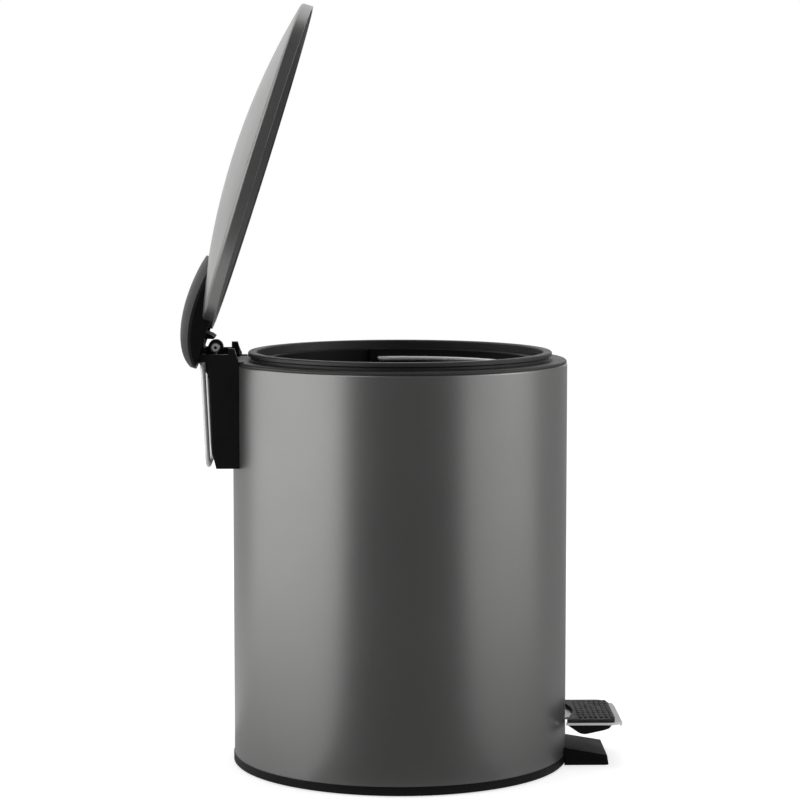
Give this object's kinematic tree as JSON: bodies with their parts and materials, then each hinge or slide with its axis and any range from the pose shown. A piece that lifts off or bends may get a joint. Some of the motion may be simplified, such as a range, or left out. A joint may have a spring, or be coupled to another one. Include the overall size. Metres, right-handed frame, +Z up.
{
  "type": "pedal trash can",
  "caption": "Round metal pedal bin with a hinged domed lid held open, lift-out inner bucket with a wire bail, foot pedal, linked push rod and wire carry handle.",
  "frame": {"origin": "on the floor, on the axis of the round body", "axes": "+Z up; +X to the front, where the pedal is; -X to the rear, where the lid's hinge is"},
  "size_m": [0.2703, 0.206, 0.4647],
  "materials": {
    "steel_body": "satin metallic paint on sheet steel",
    "steel_lid": "satin metallic paint on sheet steel",
    "black_plastic": "satin black moulding",
    "gloss_black": "glossy black moulding",
    "bucket_plastic": "satin dark moulding",
    "cover_grey": "dark grey metallic paint on a moulding",
    "rubber": "matt black rubber",
    "chrome": "bright chrome plate",
    "steel_wire": "bright plated wire",
    "zinc": "zinc plated steel",
    "nylon": "natural nylon"
  },
  "bodies": {
    "can": {"body_shell": "steel_body", "base": "black_plastic", "floor_ring": "rubber", "lever_stop": "rubber", "front_foot": "gloss_black", "foot_screws": "zinc", "top_ring": "gloss_black", "inner_bucket": "bucket_plastic", "hinge_bracket": "black_plastic", "bracket_screws": "zinc", "hinge_pin": "zinc", "damper_cylinder": "black_plastic", "rod_guides": "nylon", "pedal_axle": "zinc", "axle_clips": "zinc"},
    "lid": {"lid_shell": "steel_lid", "lid_liner": "gloss_black", "lid_pads": "rubber", "lid_arm": "black_plastic", "arm_screws": "zinc", "hinge_cap": "gloss_black", "cap_cover": "cover_grey"},
    "push_rod": {"push_rod": "steel_wire", "rod_foot": "nylon", "crank_pin": "chrome", "pin_clip": "zinc", "rod_yoke": "black_plastic", "damper_piston": "zinc"},
    "pedal": {"pedal_lever": "chrome", "pedal_pad": "rubber", "pedal_shell": "gloss_black", "pedal_screws": "zinc"},
    "bail": {"bucket_bail": "steel_wire"},
    "handle": {"carry_handle": "steel_wire"}
  },
  "joints": [
    {"name": "lid_hinge", "type": "hinge", "parent": "can", "child": "lid", "pos_m": [-0.1207, 0, 0.2505], "axis": [0, -1, 0], "range_deg": [-72.35, 0]},
    {"name": "push_rod_slide", "type": "slide", "parent": "can", "child": "push_rod", "axis": [0, 0, 1], "range_m": [-0.01169, 0]},
    {"name": "pedal_pivot", "type": "hinge", "parent": "can", "child": "pedal", "pos_m": [0.01, 0, 0.0145], "axis": [0, 1, 0], "range_deg": [-6.52, 0]},
    {"name": "bail_pivot", "type": "hinge", "parent": "can", "child": "bail", "pos_m": [0, 0, 0.2429], "axis": [0.1444, -0.9895, 0], "range_deg": [0, 180]},
    {"name": "carry_handle_pivot", "type": "hinge", "parent": "can", "child": "handle", "pos_m": [-0.1198, 0, 0.252], "axis": [0, 1, 0], "range_deg": [0, 18]}
  ],
  "couplings": [
    {"joint": "push_rod_slide", "follows": "lid_hinge", "m_per_rad": 0.0092547},
    {"joint": "pedal_pivot", "follows": "lid_hinge", "ratio": 0.090045}
  ]
}
